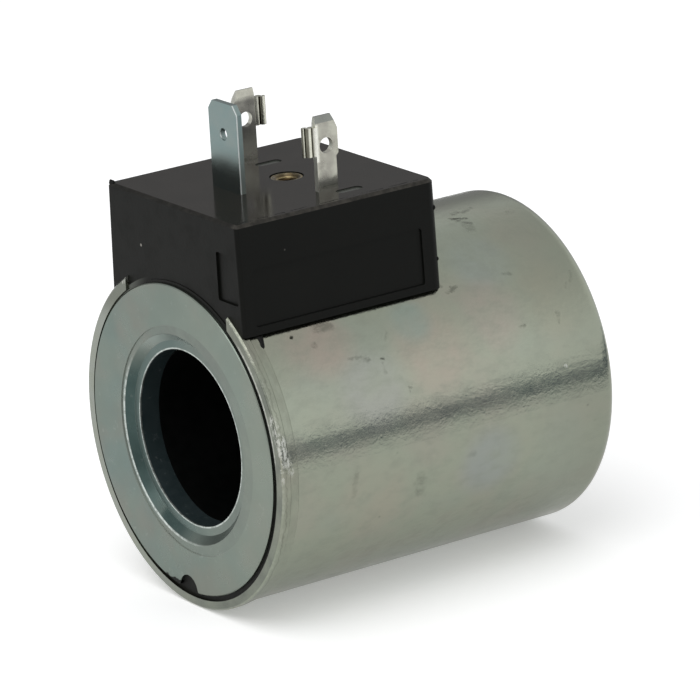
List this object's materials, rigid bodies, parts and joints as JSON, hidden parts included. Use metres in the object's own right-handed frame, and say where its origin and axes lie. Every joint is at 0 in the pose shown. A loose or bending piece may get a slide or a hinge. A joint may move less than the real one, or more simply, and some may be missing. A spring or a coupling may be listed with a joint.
{
  "type": "solenoid valve coil",
  "caption": "Potted solenoid coil in a round zinc-plated steel can, with a square black plug-in connector head that carries flat contacts, an earth blade and a threaded insert.",
  "frame": {"origin": "on the bore's axis, halfway along the steel can", "axes": "+Y along the bore from the front plate to the can's closed end, +Z towards the connector head, +X to the right seen from the front plate"},
  "size_m": [0.0446, 0.0528, 0.0647],
  "materials": {
    "zinc_can": "zinc plated and passivated",
    "zinc_plate": "zinc plated, smooth",
    "bare_steel": "plain",
    "black_plastic": "moulded, satin sides and glossy top",
    "bobbin_plastic": "moulded",
    "carrier_plastic": "moulded",
    "copper_wire": "enamelled",
    "tape": "smooth",
    "sleeve_glass": "woven",
    "solder": "bright",
    "tinned_contact": "bright tin",
    "zinc_earth": "bright zinc",
    "insert_brass": "turned"
  },
  "bodies": {
    "root": {"steel_can": "zinc_can", "end_plate": "zinc_plate", "rear_yoke_ring": "bare_steel", "bobbin": "bobbin_plastic", "winding": "copper_wire", "winding_tape": "tape", "contact_1": "tinned_contact", "contact_2": "tinned_contact", "earth_terminal": "zinc_earth", "threaded_insert": "insert_brass", "start_lead": "copper_wire", "finish_lead": "copper_wire", "start_sleeve": "sleeve_glass", "finish_sleeve": "sleeve_glass", "solder_joint_1": "solder", "solder_joint_2": "solder", "terminal_carrier": "carrier_plastic", "encapsulation": "black_plastic"}
  },
  "joints": []
}
